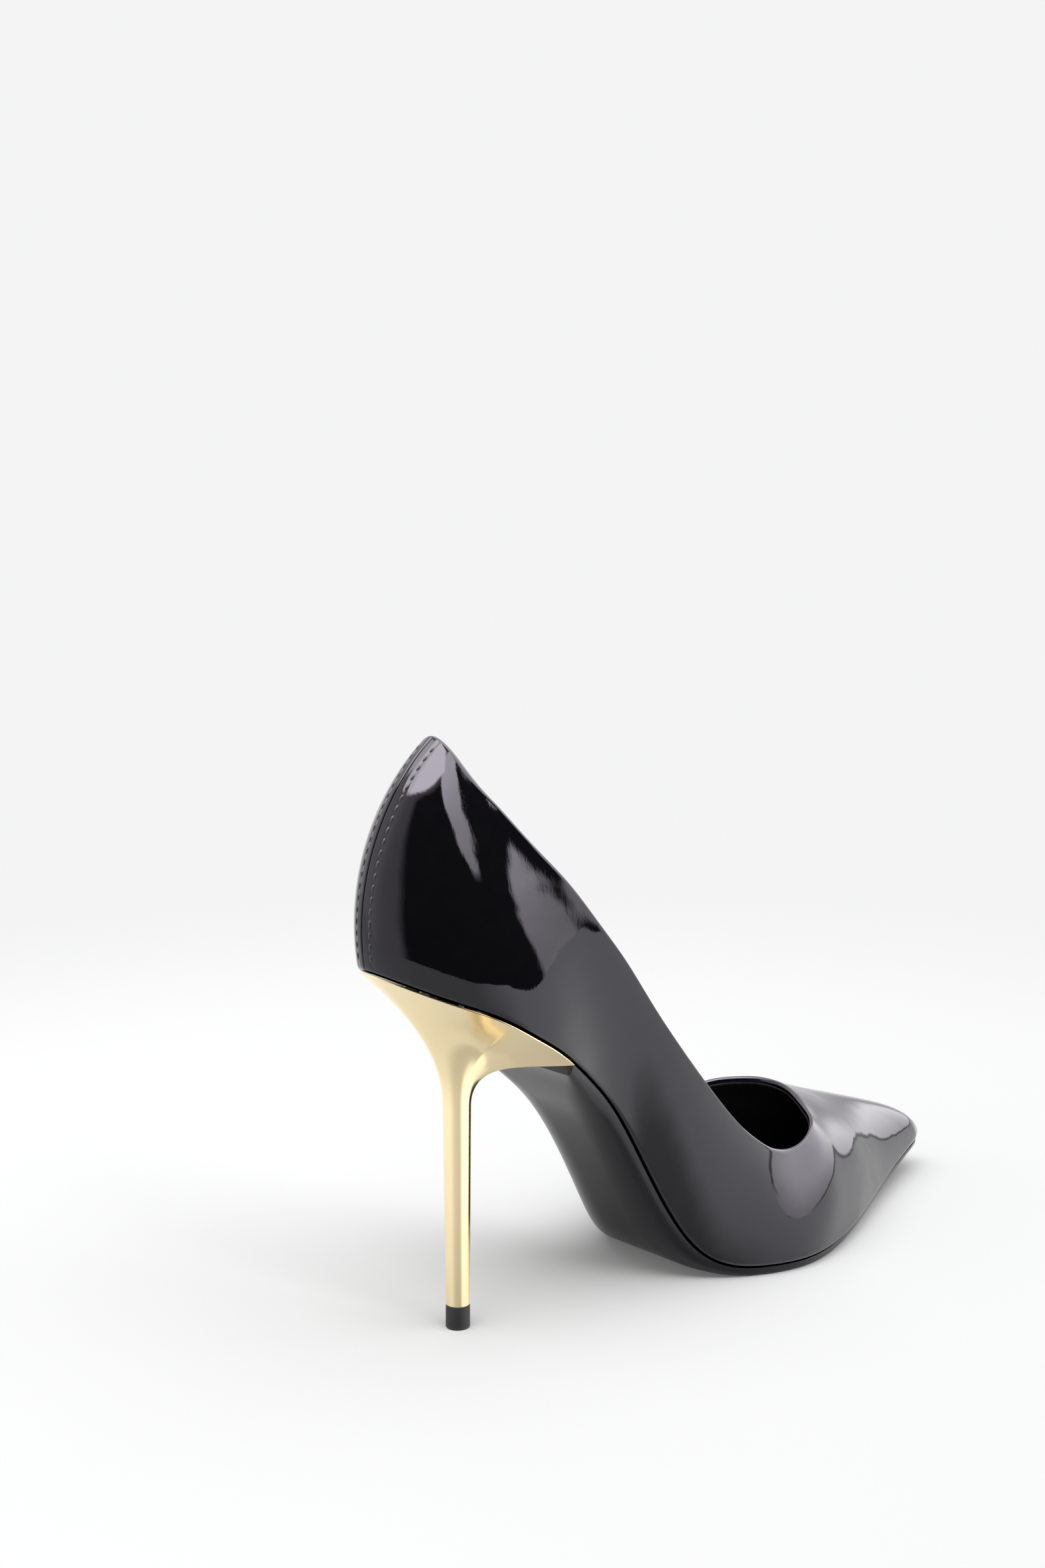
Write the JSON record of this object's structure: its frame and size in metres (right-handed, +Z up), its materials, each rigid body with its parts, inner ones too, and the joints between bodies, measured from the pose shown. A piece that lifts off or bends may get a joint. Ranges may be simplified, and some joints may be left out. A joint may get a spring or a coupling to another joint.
{
  "type": "high heel pump",
  "caption": "Right-foot pointed half-d'Orsay pump: black patent upper open at the inner waist, lined and padded inside, on a slim metallised stiletto heel with a small top piece.",
  "frame": {"origin": "centre of the heel tip's underside, on the floor", "axes": "+X forward to the toe, +Y to the inner side of the foot, +Z up"},
  "size_m": [0.2242, 0.0744, 0.1576],
  "materials": {
    "patent_leather": "high-gloss patent coating",
    "lining_leather": "fine matt lining",
    "grip_suede": "napped suede",
    "insock_leather": "fine grain with a faint sparkle",
    "outsole_leather": "satin painted",
    "gold_heel": "pale gold mirror finish, metallised",
    "top_piece": "matt black",
    "steel": "plain",
    "fibre_board": "pressed fibre board",
    "stiffener": "thermoformed sheet",
    "interlining_cloth": "plain weave",
    "thread": "twisted bonded thread",
    "foam": "soft foam",
    "cork_filler": "cork sheet"
  },
  "bodies": {
    "root": {"back_seam_stitches": "thread", "back_seam_tape": "interlining_cloth", "bottom_filler": "cork_filler", "forefoot_pad": "foam", "heel_body": "gold_heel", "heel_counter": "stiffener", "heel_dowel": "steel", "heel_grip": "grip_suede", "heel_nails": "steel", "heel_pad": "foam", "heel_screw": "steel", "heel_tip": "top_piece", "heel_tip_pin": "steel", "insock": "insock_leather", "insole_board": "fibre_board", "medial_quarter": "patent_leather", "medial_vamp_interlining": "interlining_cloth", "outsole": "outsole_leather", "quarter_lining": "lining_leather", "shank": "steel", "shank_board": "fibre_board", "shank_rivets": "steel", "toe_puff": "stiffener", "topline_stitches": "thread", "topline_tape": "interlining_cloth", "vamp_interlining": "interlining_cloth", "vamp_lining": "lining_leather", "vamp_upper": "patent_leather", "waist_wrap": "patent_leather"}
  },
  "joints": []
}
